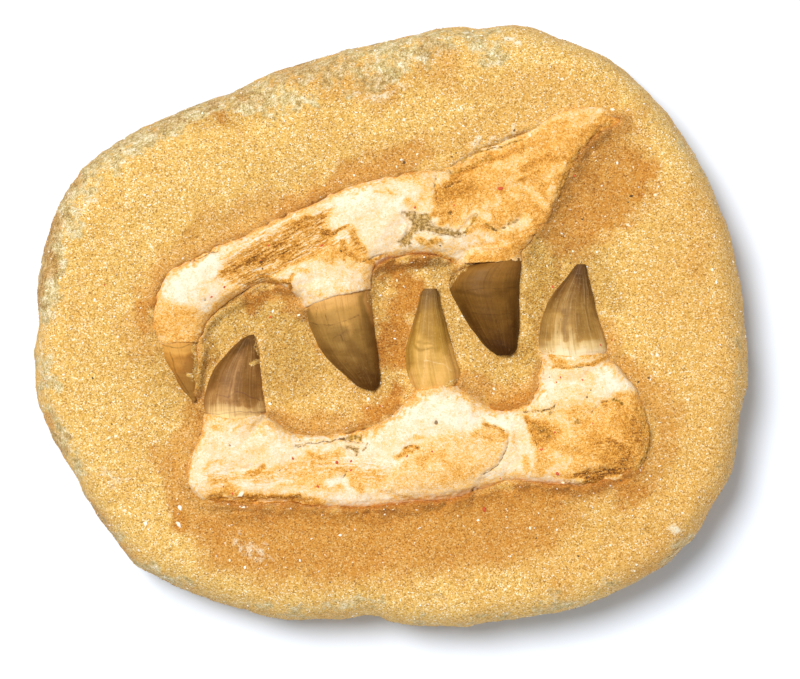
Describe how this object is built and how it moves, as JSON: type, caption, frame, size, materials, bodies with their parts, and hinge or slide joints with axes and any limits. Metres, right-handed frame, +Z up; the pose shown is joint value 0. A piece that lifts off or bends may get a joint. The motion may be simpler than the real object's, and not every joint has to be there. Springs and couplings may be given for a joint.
{
  "type": "fossil mosasaur jaw in sandstone",
  "caption": "Fossil jaws of a marine reptile: curved conical teeth in an upper and a lower jaw bone, half sunk side by side in a rounded slab of sandstone with a flat base.",
  "frame": {"origin": "centre of the bounding box's base, on the plane the slab rests on", "axes": "+Z up, out of the face that shows the fossil; +X along the slab's long side, from the snout's tip towards the back of the jaws; +Y across the slab, from the lower jaw to the upper jaw"},
  "size_m": [0.2572, 0.2164, 0.0484],
  "materials": {
    "sandstone_slab": "matt, grainy",
    "upper_jaw": "matt, chalky",
    "lower_jaw": "matt, chalky",
    "upper_tooth_front": "satin enamel",
    "upper_tooth_middle": "glossy enamel",
    "upper_tooth_back": "glossy enamel",
    "lower_tooth_front": "glossy enamel",
    "lower_tooth_middle": "glossy enamel",
    "lower_tooth_back": "glossy enamel"
  },
  "bodies": {
    "root": {"sandstone_slab": "sandstone_slab", "upper_jaw": "upper_jaw", "lower_jaw": "lower_jaw", "upper_tooth_front": "upper_tooth_front", "upper_tooth_middle": "upper_tooth_middle", "upper_tooth_back": "upper_tooth_back", "lower_tooth_front": "lower_tooth_front", "lower_tooth_middle": "lower_tooth_middle", "lower_tooth_back": "lower_tooth_back"}
  },
  "joints": []
}
